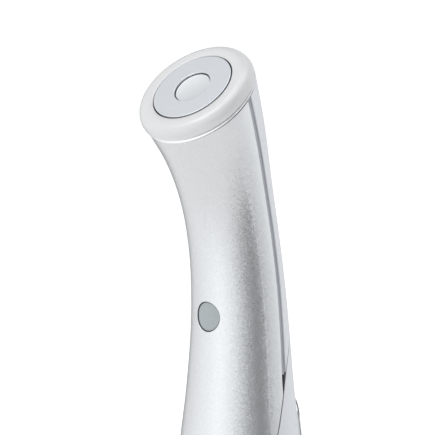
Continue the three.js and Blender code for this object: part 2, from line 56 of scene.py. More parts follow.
GAP = 0.3
WALL = 2.0
HOLE_RINGS = 7  # loops of points between the casing's grid and the edge of a hole
HOLE_MARGIN = 3.0  # how far round a hole those loops reach
BEND_START = 61.5
BEND_LENGTH = 128.5
BEND_POWER = 1.3
NECK_END = 158.0
HEAD_TILT = math.radians(41)
TILT_BLEND = 22.0
CASING_PLACES = [0, 3, 7, 14, 24, 34, 52, 70, 88, 106, 124, 142, NECK_END]
CASING_RADII = [13.5, 16.4, 18.5, 20.4, 21.3, 21.0, 18.9, 17.35, 16.3, 15.7, 16.05, 18.0, 20.8]
SEAM_Y = [30, 16.5, 9.5, 4.3, 0.65, -3.3, -9, -17, -30]
SEAM_Z = [91, 81.2, 71.4, 61.5, 50.6, 39.5, 27, 17.5, 11]
FRONT_EDGE = 1.9
BACK_EDGE = 4.2
TRIM_RECESS = 0.5
TRIM_FOOT = 59.4
TRIM_WALL = 1.4
LEDGE_FOOT = 47.0  # the ledge that the trim strip lies on
LEDGE_END = 150.0
LEDGE_WALL = 0.9
STRIP_ROUND = 0.15  # rounding of the strips' edges
BOW_BACK = 0.45  # how far the strip's line bows backwards, and forwards at its ends
BOW_AHEAD = 0.6
BOW_AT = 108.0
BOW_REACH = 48.0
EDGE_ROUND = 0.22  # rounding of the casing's cut edges
SKIN = 0.03  # how far the round skins stay inside the frame's outermost lines

HEAD_DEPTH = 6.35
PLATE_RADIUS = 14.45
PLATE_HOLE = 6.75
CENTRE_RADIUS = 6.4
CENTRE_RECESS = 0.6
CENTRE_DISH = 0.28  # middle of the inner electrode below its rim
ELECTRODE_STEP = 2.2  # depth of the inner electrode, and of the light ring's channel
RING_RADIUS = 21.25 - SKIN
RING_INNER = PLATE_RADIUS + 0.45
RING_CREST = 17.0
RING_LIP = 0.4
RING_WIDEST = 4.2
RING_SQUARENESS = 2.35
RING_FOOT = 5.15
RING_TUCK = 0.75
TRIM_RADIUS = 20.95
TRIM_INNER = 18.1
TRIM_CHAMFER = 0.55
TRIM_RISE = 0.75

BUTTON_AT = 81.3
BUTTON_RADIUS = 4.95
BUTTON_PLAY = 0.22
BUTTON_RECESS = 0.45
BUTTON_EDGE = 0.25  # rounding of the button's edge
FLANGE_AT = 3.35
FLANGE_SIZE = 0.9  # the flange's thickness, and how far it stands out
STEM_TIP = 5.2
STEM_RADIUS = 1.5

HAND_Z = 31.5
HAND_HALF_WIDTH = 16.0
HAND_HALF_HEIGHT = 19.0
HAND_SQUARENESS = 3.0
HAND_PROUD = 0.8
HAND_SUNK = 0.7

CAP_HEIGHT = 3.0

# ---------- the view ----------

VIEW_AZIMUTH = math.radians(42.2)
VIEW_ELEVATION = math.radians(7.5)
VIEW_DISTANCE = 1000.0
VIEW_WIDTH = 146.0  # width of the picture at the treatment face
VIEW_RIGHT = 8.58  # the view's centre, right of and below the treatment face's centre
VIEW_DOWN = 44.05

# ---------- the casing's shape ----------


def hermite(places, values, at):
    """A smooth curve through a table: cubic pieces whose slopes come from the neighbouring points."""
    x = np.asarray(places, float)
    y = np.asarray(values, float)
    slope = np.empty_like(y)
    slope[1:-1] = (y[2:] - y[:-2]) / (x[2:] - x[:-2])
    slope[0] = (y[1] - y[0]) / (x[1] - x[0])
    slope[-1] = (y[-1] - y[-2]) / (x[-1] - x[-2])
    i = np.clip(np.searchsorted(x, at) - 1, 0, len(x) - 2)
    span = x[i + 1] - x[i]
    u = (at - x[i]) / span
    v = 1 - u
    rise = u * v * v * span * slope[i] - u * u * v * span * slope[i + 1]
    return (1 + 2 * u) * v * v * y[i] + u * u * (3 - 2 * u) * y[i + 1] + rise


def smooth(values, reach):
    """Evens out a table with a bell-shaped window that reaches this many steps each way."""
    window = np.exp(-0.5 * (np.arange(-reach, reach + 1) / (reach / 2.5)) ** 2)
    padded = np.pad(values, reach, mode="reflect", reflect_type="odd")
    return np.convolve(padded, window / window.sum(), mode="valid")


# The centreline, tilt and radius, tabled along the length and read between steps.
STEP = 0.2
LENGTHS = np.arange(0, NECK_END + STEP / 2, STEP)
LEAN = HEAD_TILT * np.maximum(0, (LENGTHS - BEND_START) / BEND_LENGTH) ** BEND_POWER
BLEND = np.clip((LENGTHS - NECK_END + TILT_BLEND) / TILT_BLEND, 0, 1)
TILT = LEAN + BLEND * BLEND * (3 - 2 * BLEND) * (HEAD_TILT - LEAN[-1])
SPINE_Y = np.concatenate([[0], -np.cumsum(np.sin(LEAN[:-1] + np.diff(LEAN) / 2)) * STEP])
SPINE_Z = np.concatenate([[0], np.cumsum(np.cos(LEAN[:-1] + np.diff(LEAN) / 2)) * STEP])
RADIUS = smooth(hermite(CASING_PLACES, CASING_RADII, LENGTHS), 16) - SKIN


def spine(s):
    """(y, z, tilt, radius) of the centreline at length s."""
    return tuple(np.interp(s, LENGTHS, table) for table in (SPINE_Y, SPINE_Z, TILT, RADIUS))


def casing_point(s, theta, inset=0.0):
    """Points on the casing, moved inwards by inset. theta is 0 at the front and pi at the back."""
    y, z, tilt, r = spine(s)
    across = (r - inset) * np.sin(theta)
    ahead = (r - inset) * np.cos(theta)
    return np.stack([across, y - ahead * np.cos(tilt), z - ahead * np.sin(tilt)], axis=-1)


def bow(s):
    """How far the trim strip's line bows backwards at length s."""
    return np.maximum(-BOW_AHEAD, BOW_BACK - ((s - BOW_AT) / BOW_REACH) ** 2)


def edge_angle(s, behind, depth=0.0):
    """The angle round the casing where it is this far behind the centreline, bowed, at a depth."""
    return np.arccos(np.clip(-(behind + bow(s)) / (spine(s)[3] - depth), -1, 1))


def seam_line(shift):
    """The seam in side view as (y, z) tables with rising y, moved up and forward by shift."""
    knots = np.array([SEAM_Y, SEAM_Z], float).T
    ends = np.vstack([knots[:1], knots, knots[-1:]])
    points = []
    for i in range(len(knots) - 1):
        p0, p1, p2, p3 = ends[i : i + 4]
        for u in np.linspace(0, 1, 24, endpoint=False):
            a = (p2 - p0) * 0.5
            b = (p3 - p1) * 0.5
            cubic = (2 * p1 - 2 * p2 + a + b) * u**3 + (-3 * p1 + 3 * p2 - 2 * a - b) * u**2
            points.append(cubic + a * u + p1)
    line = np.array(points + [knots[-1]])
    along = np.gradient(line, axis=0)
    along /= np.linalg.norm(along, axis=1, keepdims=True)
    line[:, 0] += along[:, 1] * shift
    line[:, 1] -= along[:, 0] * shift
    return line[::-1, 0], line[::-1, 1]


def seam_length(angle_at, shift):
    """Length along the centreline where each line angle_at(s) on the casing meets the seam."""
    seam_y, seam_z = seam_line(shift)
    low = np.zeros_like(angle_at(0.0))
    high = np.full_like(low, NECK_END)
    for _ in range(40):
        middle = (low + high) / 2
        point = casing_point(middle, angle_at(middle))
        above = point[..., 2] > np.interp(point[..., 1], seam_y, seam_z)
        high = np.where(above, middle, high)
        low = np.where(above, low, middle)
    return (low + high) / 2


# ---------- making meshes ----------


def new_object(name, vertices, faces, material, body=BODY):
    """A smooth-shaded mesh object in metres from vertices in millimetres, riding on a body."""
    mesh = bpy.data.meshes.new(name)
    mesh.from_pydata((np.asarray(vertices, float) * MM).tolist(), [], faces)
    mesh.validate()
    mesh.shade_smooth()
    mesh.materials.append(material)
    obj = bpy.data.objects.new(name, mesh)
    bpy.context.scene.collection.objects.link(obj)
    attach(obj, body)
    return obj


def stands_for(obj, slot, *nodes):
    """Hides the CAD nodes that a piece stands for. The slot argument is not used."""
    if nodes:
        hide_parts(*nodes)


def grid_faces(rows, columns, closed=False, skip=None):
    """Quads of a grid of points, wound so that rows up and columns round make them face out."""
    faces = []
    for i in range(rows - 1):
        for j in range(columns if closed else columns - 1):
            if skip and skip[0] <= i < skip[1] and skip[2] <= j < skip[3]:
                continue
            k = (j + 1) % columns
            faces.append((i * columns + j, i * columns + k, (i + 1) * columns + k, (i + 1) * columns + j))
    return faces


def thicken(obj, thickness, rounding, segments=3, even=True, painted_shade_inside=False, hole_place=None):
    """Gives a sheet its wall, inwards, and rounds the edges where it is cut.

    Its hole is cut square to the surface, or along Z of hole_place where that is given.
    """
    wall = obj.modifiers.new("wall", "SOLIDIFY")
    wall.thickness = thickness * MM
    wall.offset = -1
    wall.use_even_offset = even
    # The inner faces and cut edges turn near-black: partly the raw plastic inside the shell, partly painted
    # shade that darkens the gaps between parts.
    if painted_shade_inside:
        obj.data.materials.append(INSIDE_PAINTED_SHADE)
        wall.material_offset = 1
        wall.material_offset_rim = 1
    round_hole = obj.pop("round_hole", 0)
    if hole_place:
        straighten_hole(obj, hole_place, round_hole)
    edge = obj.modifiers.new("rounded_edges", "BEVEL")
    edge.width = rounding * MM
    edge.segments = segments
    edge.limit_method = "ANGLE"
    edge.angle_limit = math.radians(50)
    edge.use_clamp_overlap = False
    edge.harden_normals = True


def straighten_hole(obj, place, count):
    """Applies the wall, and turns the side of its hole to run along Z of place.

    The sheet's last points are the loops round the hole, outermost first, of count points each. Their
    copies on the inner face follow the sheet in the same order.
    """
    sheet = len(obj.data.vertices)
    depsgraph = bpy.context.evaluated_depsgraph_get()
    mesh = bpy.data.meshes.new_from_object(obj.evaluated_get(depsgraph))
    axis = place.to_3x3() @ Vector((0, 0, 1))
    for k in range(HOLE_RINGS):
        for n in range(count):
            outer = sheet - (HOLE_RINGS - k) * count + n
            step = mesh.vertices[sheet + outer].co - mesh.vertices[outer].co
            aside = step - axis * step.dot(axis)
            mesh.vertices[sheet + outer].co -= aside * (k + 1) / HOLE_RINGS
    obj.modifiers.clear()
    thin = obj.data
    obj.data = mesh
    bpy.data.meshes.remove(thin)


def superellipse(u, v, squareness):
    """How far out (u, v) is, where 1 is on the superellipse."""
    return (np.abs(u) ** squareness + np.abs(v) ** squareness) ** (1 / squareness)


def hole_ring(s, theta, window, hole):
    """Vertices and faces between a rectangular window in a grid and a round or squarish hole in the casing.

    hole is (length s0, half width, half height, squareness, side); side is 0 at the front, 1 at the back.
    """
    i0, i1, j0, j1 = window
    columns = s.shape[1]
    border = [(i0, j) for j in range(j0, j1)]
    border += [(i, j1) for i in range(i0, i1)]
    border += [(i1, j) for j in range(j1, j0, -1)]
    border += [(i, j0) for i in range(i1, i0, -1)]
    s0, half_width, half_height, squareness, back = hole
    outer = np.array([local_place(s[i, j], theta[i, j], s0) for i, j in border])
    inner = outer / superellipse(outer[:, 0] / half_width, outer[:, 1] / half_height, squareness)[:, None]
    points = []
    for k in range(1, HOLE_RINGS + 1):
        x, b = (outer + (inner - outer) * k / HOLE_RINGS).T
        points.append(casing_point(*from_local(x, b, s0, back)))
    first = s.size
    count = len(border)
    loops = [[i * columns + j for i, j in border]]
    loops += [[first + k * count + n for n in range(count)] for k in range(HOLE_RINGS)]
    faces = []
    for a, b in zip(loops, loops[1:]):
        faces += [(a[n], a[(n + 1) % count], b[(n + 1) % count], b[n]) for n in range(count)]
    return np.concatenate(points), faces


def local_place(s, theta, s0):
    """(across, along) of a casing point, seen square on to the centreline at s0."""
    point = casing_point(s, theta)
    y0, z0, tilt, _ = spine(s0)
    along = -(point[1] - y0) * math.sin(tilt) + (point[2] - z0) * math.cos(tilt)
    return point[0], along


def from_local(x, along, s0, back):
    """(s, theta) of the casing points that lie at (x, along) in that square view."""
    y0, z0, tilt, _ = spine(s0)
    s = s0 + along
    for _ in range(6):
        r = spine(s)[3]
        theta = np.arcsin(np.clip(x / r, -1, 1))
        if back:
            theta = math.pi - theta
        point = casing_point(s, theta)
        reached = -(point[:, 1] - y0) * math.sin(tilt) + (point[:, 2] - z0) * math.cos(tilt)
        s = s + along - reached
    return s, theta


def shell(name, s, theta, material, hole=None, closed=False):
    """A casing shell from grids of lengths and angles, with an oval hole if one is given."""
    rows, columns = s.shape
    vertices = casing_point(s, theta).reshape(-1, 3)
    skip = None
    extra = []
    if hole:
        s0, half_width, half_height = hole[:3]
        middle = columns // 2
        across = np.abs(casing_point(s, theta)[..., 0])
        inside_rows = [i for i in range(rows) if abs(s[i, middle] - s0) < half_height + HOLE_MARGIN]
        mid_row = inside_rows[len(inside_rows) // 2]
        near = [j for j in range(columns) if across[mid_row, j] < half_width + HOLE_MARGIN]
        near = [j for j in near if abs(j - middle) < columns // 4]
        skip = (inside_rows[0], inside_rows[-1], near[0], near[-1])
        ring, extra = hole_ring(s, theta, skip, hole)
        vertices = np.concatenate([vertices, ring])
    faces = grid_faces(rows, columns, closed, skip) + extra
    obj = new_object(name, vertices, faces, material)
    remove_loose(obj)
    if hole:
        obj["round_hole"] = len(ring) // HOLE_RINGS
    return obj


def remove_loose(obj):
    """Deletes the points that a hole left without faces."""
    work = bmesh.new()
    work.from_mesh(obj.data)
    bmesh.ops.delete(work, geom=[v for v in work.verts if not v.link_faces], context="VERTS")
    work.to_mesh(obj.data)
    work.free()


def fillet(corners, default, steps=5):
    """An outline with each corner rounded. A corner is (r, h) or (r, h, rounding)."""
    count = len(corners)
    outline = []
    for i in range(count):
        before = np.array(corners[i - 1][:2], float)
        here = np.array(corners[i][:2], float)
        after = np.array(corners[(i + 1) % count][:2], float)
        rounding = corners[i][2] if len(corners[i]) > 2 else default
        a = before - here
        b = after - here
        reach_a = np.linalg.norm(a)
        reach_b = np.linalg.norm(b)
        a /= reach_a
        b /= reach_b
        angle = math.acos(max(-1.0, min(1.0, float(a @ b))))
        if rounding <= 0 or angle > math.radians(172):
            outline.append(here)
            continue
        tangent = min(rounding / math.tan(angle / 2), 0.48 * reach_a, 0.48 * reach_b)
        radius = tangent * math.tan(angle / 2)
        bisector = (a + b) / np.linalg.norm(a + b)
        middle = here + bisector * radius / math.sin(angle / 2)
        start = here + a * tangent - middle
        end = here + b * tangent - middle
        sweep = math.atan2(start[0] * end[1] - start[1] * end[0], start @ end)
        for k in range(steps + 1):
            turn = sweep * k / steps
            c, n = math.cos(turn), math.sin(turn)
            outline.append(middle + np.array([c * start[0] - n * start[1], n * start[0] + c * start[1]]))
    return outline


def supported(outline, reach=0.08):
    """Adds a point close to both ends of each long side, which keeps flat faces flat when shaded."""
    result = []
    for i, here in enumerate(outline):
        after = outline[(i + 1) % len(outline)]
        length = np.linalg.norm(np.subtract(after, here))
        result.append(here)
        if length > 5 * reach:
            result.append(here + (after - here) * reach / length)
            result.append(after - (after - here) * reach / length)
    return result


def lathe(name, outline, material, place, segments=160, body=BODY, lift=None):
    """A body turned about its own Z from a closed (r, h) outline, put in place by a matrix.

    lift(x, y, h) gives how far to move each point along the axis.
    """
    points = [np.asarray(p, float) for p in outline]
    area = sum(a[0] * b[1] - b[0] * a[1] for a, b in zip(points, points[1:] + points[:1]))
    if area < 0:
        points = points[::-1]
    vertices = []
    rows = []
    for r, h in points:
        if r < 1e-6:
            rows.append([len(vertices)] * segments)
            vertices.append((0, 0, h))
            continue
        rows.append(list(range(len(vertices), len(vertices) + segments)))
        for k in range(segments):
            turn = 2 * math.pi * k / segments
            vertices.append((r * math.cos(turn), r * math.sin(turn), h))
    if lift:
        x, y, h = np.array(vertices).T
        vertices = np.stack([x, y, h + lift(x, y, h)], axis=1).tolist()
    faces = []
    for a, b in zip(rows, rows[1:] + rows[:1]):
        for k in range(segments):
            n = (k + 1) % segments
            corner = [a[k], a[n], b[n], b[k]]
            face = [v for i, v in enumerate(corner) if v != corner[i - 1]]
            if len(face) > 2:
                faces.append(face)
    placed = [place @ Vector(v) for v in vertices]
    return new_object(name, placed, faces, material, body)


# ---------- materials ----------


def shader(name, color, roughness, metallic=0.0, **sockets):
    """A node material with a Principled shader. Sockets are given by name with _ for spaces."""
    material = bpy.data.materials.new(name)
    material.use_nodes = True
    principled = material.node_tree.nodes["Principled BSDF"]
    principled.inputs["Base Color"].default_value = (*color, 1)
    principled.inputs["Roughness"].default_value = roughness
    principled.inputs["Metallic"].default_value = metallic
    for socket, value in sockets.items():
        principled.inputs[socket.replace("_", " ")].default_value = value
    return material


def texture(material, kind, scale, **settings):
    """A noise or Voronoi texture in object coordinates; scale is in cells per metre."""
    tree = material.node_tree
    coordinates = tree.nodes.get("Texture Coordinate") or tree.nodes.new("ShaderNodeTexCoord")
    node = tree.nodes.new(kind)
    node.inputs["Scale"].default_value = scale
    for socket, value in settings.items():
        node.inputs[socket].default_value = value
    tree.links.new(coordinates.outputs["Object"], node.inputs["Vector"])
    return node


def spread(material, source, low, high, from_low=0.3, from_high=0.7):
    """Maps a texture's output to a range of numbers."""
    node = material.node_tree.nodes.new("ShaderNodeMapRange")
    node.inputs["From Min"].default_value = from_low
    node.inputs["From Max"].default_value = from_high
    node.inputs["To Min"].default_value = low
    node.inputs["To Max"].default_value = high
    material.node_tree.links.new(source, node.inputs["Value"])
    return node.outputs["Result"]


def tint(material, factor, low, high):
    """Drives the base colour between two colours."""
    tree = material.node_tree
    mix = tree.nodes.new("ShaderNodeMix")
    mix.data_type = "RGBA"
    mix.inputs["A"].default_value = (*low, 1)
    mix.inputs["B"].default_value = (*high, 1)
    tree.links.new(factor, mix.inputs["Factor"])
    tree.links.new(mix.outputs["Result"], tree.nodes["Principled BSDF"].inputs["Base Color"])


def roughen(material, factor):
    """Drives the roughness."""
    tree = material.node_tree
    tree.links.new(factor, tree.nodes["Principled BSDF"].inputs["Roughness"])


def relief(material, height, distance, strength=1.0):
    """Bumps the surface; distance is in metres."""
    tree = material.node_tree
    bump = tree.nodes.new("ShaderNodeBump")
    bump.inputs["Distance"].default_value = distance
    bump.inputs["Strength"].default_value = strength
    tree.links.new(height, bump.inputs["Height"])
    tree.links.new(bump.outputs["Normal"], tree.nodes["Principled BSDF"].inputs["Normal"])


def flakes(material, scale, lean):
    """Turns the surface's direction a little, another way in every flake; lean is how much."""
    tree = material.node_tree
    cells = texture(material, "ShaderNodeTexVoronoi", scale)
    surface = tree.nodes.new("ShaderNodeNewGeometry")
    steps = []
    for operation in ("SUBTRACT", "SCALE", "ADD", "NORMALIZE"):
        step = tree.nodes.new("ShaderNodeVectorMath")
        step.operation = operation
        steps.append(step)
    steps[0].inputs[1].default_value = (0.5, 0.5, 0.5)
    steps[1].inputs["Scale"].default_value = lean
    tree.links.new(cells.outputs["Color"], steps[0].inputs[0])
    for before, after in zip(steps, steps[1:]):
        tree.links.new(before.outputs["Vector"], after.inputs[0])
    tree.links.new(surface.outputs["Normal"], steps[2].inputs[1])
    tree.links.new(steps[3].outputs["Vector"], tree.nodes["Principled BSDF"].inputs["Normal"])


def silver_lacquer():
    """Satin silver with fine metal flakes that each lean a little their own way."""
    coat = {"Coat_Weight": 1.0, "Coat_Roughness": 0.05, "Coat_IOR": 1.8}
    material = shader("silver_lacquer", (0.62, 0.63, 0.64), 0.36, 0.85, **coat)
    grain = texture(material, "ShaderNodeTexNoise", 2300, Detail=2.0, Roughness=0.6)
    tint(material, spread(material, grain.outputs["Fac"], 0, 1), (0.665, 0.679, 0.691), (0.745, 0.761, 0.775))
    roughen(material, spread(material, grain.outputs["Fac"], 0.36, 0.29))
    flakes(material, 4200, 0.24)
    return material


def pearl_lacquer():
    """Cool white with a soft pearly gloss."""
    material = shader("pearl_lacquer", (0.72, 0.74, 0.78), 0.34, 0.25, Coat_Weight=0.3, Coat_Roughness=0.2)
    cloud = texture(material, "ShaderNodeTexNoise", 1800, Detail=2.0)
    tint(material, spread(material, cloud.outputs["Fac"], 0, 1), (0.62, 0.64, 0.672), (0.67, 0.685, 0.712))
    relief(material, cloud.outputs["Fac"], 0.00001)
    return material


def moulded(name, color, roughness, grain=900, depth=0.00002, **sockets):
    """Moulded plastic or rubber with a faint spark-eroded texture."""
    material = shader(name, color, roughness, **sockets)
    noise = texture(material, "ShaderNodeTexNoise", grain, Detail=3.0)
    darker = tuple(c * 0.94 for c in color)
    tint(material, spread(material, noise.outputs["Fac"], 0, 1), darker, color)
    roughen(material, spread(material, noise.outputs["Fac"], roughness * 0.9, min(1, roughness * 1.1)))
    relief(material, noise.outputs["Fac"], depth)
    return material


def metal(name, color, roughness, grain=3000, depth=0.000004):
    """Polished or blasted metal; roughness and colour vary finely over it."""
    material = shader(name, color, roughness, 1.0)
    noise = texture(material, "ShaderNodeTexNoise", grain, Detail=2.0)
    darker = tuple(c * 0.96 for c in color)
    tint(material, spread(material, noise.outputs["Fac"], 0, 1), darker, color)
    roughen(material, spread(material, noise.outputs["Fac"], roughness * 0.85, roughness * 1.15))
    relief(material, noise.outputs["Fac"], depth)
    return material


SILVER = silver_lacquer()
PEARL = pearl_lacquer()
TRIM = moulded("trim_grey", (0.34, 0.36, 0.395), 0.42)
OPAL = moulded("opal_plastic", (0.59, 0.592, 0.592), 0.34, 4000, 0.000001, Coat_Weight=1.0, Coat_Roughness=0.2)
ELECTRODE = metal("electrode_steel", (0.715, 0.74, 0.77), 0.38)
BRIGHT = metal("bright_trim", (0.82, 0.83, 0.84), 0.12, depth=0.000001)
TRIM_BRIGHT = metal("trim_ring_plating", (0.88, 0.89, 0.90), 0.16, depth=0.000001)
CENTRE_STEEL = metal("centre_steel", (0.75, 0.77, 0.79), 0.42)
BUTTON = moulded("button_grey", (0.335, 0.365, 0.375), 0.55)
# Near-black for the shells' insides, cut edges and ledges: partly raw plastic, partly painted shade that
# darkens the gaps between parts.
INSIDE_PAINTED_SHADE = moulded("inside_painted_shade", (0.12, 0.12, 0.13), 0.6)
INNER = moulded("inner_plastic", (0.62, 0.62, 0.60), 0.6)
CERAMIC = moulded("piezo_ceramic", (0.74, 0.68, 0.52), 0.5)
BOARD = moulded("circuit_board", (0.02, 0.12, 0.05), 0.4, grain=2000)
PHOSPHOR = moulded("led_body", (0.85, 0.80, 0.50), 0.25)
BLACK = moulded("black_plastic", (0.02, 0.02, 0.022), 0.5)
RUBBER = moulded("seal_rubber", (0.05, 0.05, 0.052), 0.75)
SCREW = metal("screw_steel", (0.60, 0.61, 0.62), 0.3)
CORE = moulded("transformer_core", (0.25, 0.11, 0.05), 0.45)
BRASS = metal("contact_brass", (0.83, 0.62, 0.28), 0.22)
WRAP = moulded("cell_wrap", (0.04, 0.16, 0.36), 0.35)
RED = moulded("lead_red", (0.45, 0.03, 0.02), 0.45)
BLACK_LEAD = moulded("lead_black", (0.02, 0.02, 0.02), 0.45)

# ---------- the casing ----------


def build_front_shell():
    rows, columns = 240, 181
    share = np.linspace(-1, 1, columns)
    foot = seam_length(lambda s: share * edge_angle(s, FRONT_EDGE), GAP / 2)
    climb = np.linspace(0, 1, rows)[:, None]
    s = foot + climb * (NECK_END - foot)
    theta = share * edge_angle(s, FRONT_EDGE)
    hole = (BUTTON_AT, BUTTON_RADIUS + BUTTON_PLAY, BUTTON_RADIUS + BUTTON_PLAY, 2.0, 0)
    obj = shell("front_shell_skin", s, theta, SILVER, hole)
    thicken(obj, WALL, EDGE_ROUND, painted_shade_inside=True, hole_place=button_place())
    stands_for(obj, "silver_lacquer", "front_shell")
    for side, name in ((-1, "left"), (1, "right")):
        # The ledges under the trim strips are near-black: partly raw plastic, partly painted shade seen
        # through the gaps beside the strips.
        ledge = strip(
            f"front_shell_ledge_{name}", side, -3.0, BACK_EDGE + 1.2, WALL + 0.3,
            LEDGE_FOOT, LEDGE_END, INSIDE_PAINTED_SHADE,
        )
        thicken(ledge, LEDGE_WALL, STRIP_ROUND, 2)
        stands_for(ledge, "silver_lacquer")


def strip(name, side, near, far, depth, start, end, material, rows=150, columns=9):
    """A band along one side, between two distances behind the centreline, at a depth below the surface."""
    s = np.linspace(start, end, rows)[:, None] * np.ones(columns)
    behind = np.linspace(near, far, columns) * np.ones((rows, 1))
    theta = side * edge_angle(s, behind, depth)
    vertices = casing_point(s, theta, depth).reshape(-1, 3)
    faces = grid_faces(rows, columns)
    if side < 0:
        faces = [face[::-1] for face in faces]
    return new_object(name, vertices, faces, material)


def build_back_shell():
    rows, columns = 150, 97
    share = np.linspace(-1, 1, columns)

    def angle(s):
        return math.pi + share * (math.pi - edge_angle(s, BACK_EDGE))

    foot = seam_length(angle, GAP / 2)
    climb = np.linspace(0, 1, rows)[:, None]
    s = foot + climb * (NECK_END - foot)
    obj = shell("upper_back_shell_skin", s, angle(s), PEARL)
    thicken(obj, WALL, EDGE_ROUND)
    stands_for(obj, "pearl_lacquer", "upper_back_shell")


def build_lower_shell():
    rows, columns = 110, 192
    turn = np.linspace(0, 2 * math.pi, columns, endpoint=False)
    top = seam_length(lambda s: turn, -GAP / 2)
    start = CAP_HEIGHT + GAP
    climb = np.linspace(0, 1, rows)[:, None]
    s = start + climb * (top - start)
    theta = turn * np.ones((rows, 1))
    hole = (HAND_Z, HAND_HALF_WIDTH + GAP, HAND_HALF_HEIGHT + GAP, HAND_SQUARENESS, 1)
    obj = shell("lower_shell_skin", s, theta, PEARL, hole, closed=True)
    thicken(obj, WALL, EDGE_ROUND, painted_shade_inside=True)
    stands_for(obj, "pearl_lacquer", "lower_shell")


def build_trims():
    for side, name in ((-1, "left"), (1, "right")):
        obj = strip(
            f"side_trim_{name}_skin", side, FRONT_EDGE + GAP, BACK_EDGE - GAP, TRIM_RECESS,
            TRIM_FOOT + 0.3, NECK_END, TRIM,
        )
        thicken(obj, TRIM_WALL, STRIP_ROUND, 2)
        stands_for(obj, "trim_grey", f"side_trim_{name}")


def build_hand_electrode():
    """A plate that follows the casing: a square grid drawn out to its superellipse, then thickened."""
    count = 61
    u, v = np.meshgrid(np.linspace(-1, 1, count), np.linspace(-1, 1, count))
    x = u * np.sqrt(1 - v * v / 2)
    b = v * np.sqrt(1 - u * u / 2)
    stretch = np.hypot(x, b) / np.maximum(superellipse(x, b, HAND_SQUARENESS), 1e-9)
    x = x * stretch * HAND_HALF_WIDTH
    b = b * stretch * HAND_HALF_HEIGHT
    s, theta = from_local(x.ravel(), b.ravel(), HAND_Z, 1)
    vertices = casing_point(s, theta, -HAND_PROUD)
    faces = [face[::-1] for face in grid_faces(count, count)]
    obj = new_object("hand_electrode_plate", vertices, faces, BRIGHT)
    thicken(obj, HAND_PROUD + HAND_SUNK, 0.7, 6, even=False)
    stands_for(obj, "bright_trim", "hand_electrode")


# ---------- the head ----------

HEAD_CENTRE = Vector(
    (0, SPINE_Y[-1] - HEAD_DEPTH * math.sin(HEAD_TILT), SPINE_Z[-1] + HEAD_DEPTH * math.cos(HEAD_TILT))
)
HEAD = Matrix.Translation(HEAD_CENTRE) @ Matrix.Rotation(HEAD_TILT, 4, "X")


def build_head():
    plate = fillet(
        [
            (PLATE_HOLE, -1.2, 0.1),
            (PLATE_RADIUS - 1.2, -1.2, 0.1),
            (PLATE_RADIUS - 1.2, -4.4, 0.1),
            (PLATE_RADIUS, -4.4, 0.1),
            (PLATE_RADIUS, 0, 0.18),
            (PLATE_HOLE, 0, 0.2),
        ],
        0.1,
    )
    obj = lathe("outer_electrode_plate", supported(plate), ELECTRODE, HEAD)
    stands_for(obj, "electrode_steel", "outer_electrode")

    centre = [
        (0, -ELECTRODE_STEP), (CENTRE_RADIUS - 0.1, -ELECTRODE_STEP), (CENTRE_RADIUS, -ELECTRODE_STEP + 0.1),
    ]
    edge = [(CENTRE_RADIUS - 0.2 + 0.2 * math.cos(a), -CENTRE_RECESS - 0.2 + 0.2 * math.sin(a))
            for a in np.linspace(0, math.pi / 2, 6)]
    face = [(r, -CENTRE_RECESS - CENTRE_DISH * (1 - (r / CENTRE_RADIUS) ** 2))
            for r in np.linspace(CENTRE_RADIUS - 0.35, 0, 16)]
    obj = lathe("inner_electrode_plate", centre + edge + face, CENTRE_STEEL, HEAD)
    stands_for(obj, "electrode_steel", "inner_electrode")

    obj = lathe("light_ring_diffuser", light_ring_outline(), OPAL, HEAD, 192)
    stands_for(obj, "opal_plastic", "light_ring")

    low = GAP / 2 - HEAD_DEPTH
    high = -RING_FOOT - GAP / 2
    chamfer = [(TRIM_RADIUS, high - TRIM_CHAMFER), (TRIM_RADIUS - TRIM_CHAMFER, high)]
    trim = fillet([(TRIM_INNER, low), (TRIM_RADIUS, low), *chamfer, (TRIM_INNER, high)], 0.08)

    def thinner_behind(x, y, h):
        return TRIM_RISE * (1 + y / TRIM_RADIUS) / 2 * (high - h) / (high - low)

    obj = lathe("head_trim_ring_band", trim, TRIM_BRIGHT, HEAD, 192, lift=thinner_behind)
    stands_for(obj, "bright_trim", "head_trim_ring")


def light_ring_outline():
    """A channel, open below; its top rises from the lip to a crest and rolls over a full shoulder."""
    power = 2 / RING_SQUARENESS
    rise = []
    for angle in np.linspace(0, math.pi / 2, 20):
        r = RING_CREST - (RING_CREST - RING_INNER) * math.cos(angle)
        rise.append((r, RING_LIP * (math.sin(angle) - 1)))
    shoulder = []
    for angle in np.linspace(math.pi / 2, 0, 40)[1:]:
        r = RING_CREST + (RING_RADIUS - RING_CREST) * max(0, math.cos(angle)) ** power
        shoulder.append((r, RING_WIDEST * (math.sin(angle) ** power - 1)))
    tuck = []
    for share in np.linspace(0, 1, 12)[1:]:
        tuck.append((RING_RADIUS - RING_TUCK * share**2.7, -RING_WIDEST - (RING_FOOT - RING_WIDEST) * share))
    inside = [
        (RING_RADIUS - 1.8, -RING_FOOT),
        (RING_RADIUS - 2.2, -ELECTRODE_STEP),
        (RING_INNER + 1.3, -ELECTRODE_STEP),
        (RING_INNER + 1.1, -RING_FOOT),
        (RING_INNER, -RING_FOOT),
    ]
    return rise + shoulder + tuck + inside


# ---------- the button ----------


def button_place():
    """Button coordinates: +Z outwards, from the casing's foremost line at the button."""
    y, z, tilt, r = (float(v) for v in spine(BUTTON_AT))
    apex = Vector((0, y - r * math.cos(tilt), z - r * math.sin(tilt)))
    return Matrix.Translation(apex) @ Matrix.Rotation(math.pi / 2 + tilt, 4, "X")


def casing_drop(x, along, h):
    """How far the casing lies below its foremost line beside the button; nothing below the button's cap."""
    y, z, tilt, r = spine(BUTTON_AT)
    point = casing_point(*from_local(x, along, BUTTON_AT, 0))
    height = -(point[:, 1] - y) * np.cos(tilt) - (point[:, 2] - z) * np.sin(tilt) - r
    return np.where(h > -2, height, 0)


